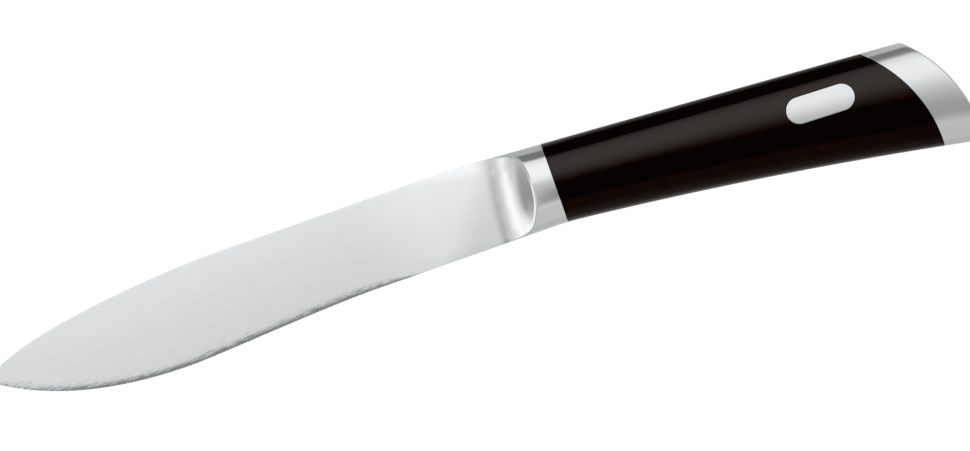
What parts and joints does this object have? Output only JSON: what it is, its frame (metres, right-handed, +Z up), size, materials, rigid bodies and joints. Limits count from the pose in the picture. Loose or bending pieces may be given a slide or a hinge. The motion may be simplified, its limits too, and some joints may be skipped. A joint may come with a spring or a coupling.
{
  "type": "steak knife",
  "caption": "Forged steel steak knife with a pointed, finely toothed blade, scooped bolster, black oval grip, flush steel inlays and a curved steel butt cap; cuts meat at the table.",
  "frame": {"origin": "bottom centre of the box round the knife as it lies on its right face", "axes": "+X from tip to butt, +Y from cutting edge to spine, +Z up out of the left face"},
  "size_m": [0.2494, 0.0364, 0.0128],
  "materials": {
    "blade_steel": "fine satin brushed along the blade, ground edge",
    "cap_steel": "satin polished",
    "inlay_steel": "satin polished, flush with the grip",
    "rivet_steel": "turned, hidden",
    "grip_black": "smooth black moulded resin with a soft sheen",
    "bedding_resin": "set filler, hidden"
  },
  "bodies": {
    "root": {"blade": "blade_steel", "grip_sleeve": "grip_black", "tang_bedding": "bedding_resin", "butt_cap": "cap_steel", "tang_rivet_barrel": "rivet_steel", "tang_rivet_pin": "rivet_steel", "cap_rivet_barrel": "rivet_steel", "cap_rivet_pin": "rivet_steel", "inlay_left": "inlay_steel", "inlay_right": "inlay_steel"}
  },
  "joints": []
}
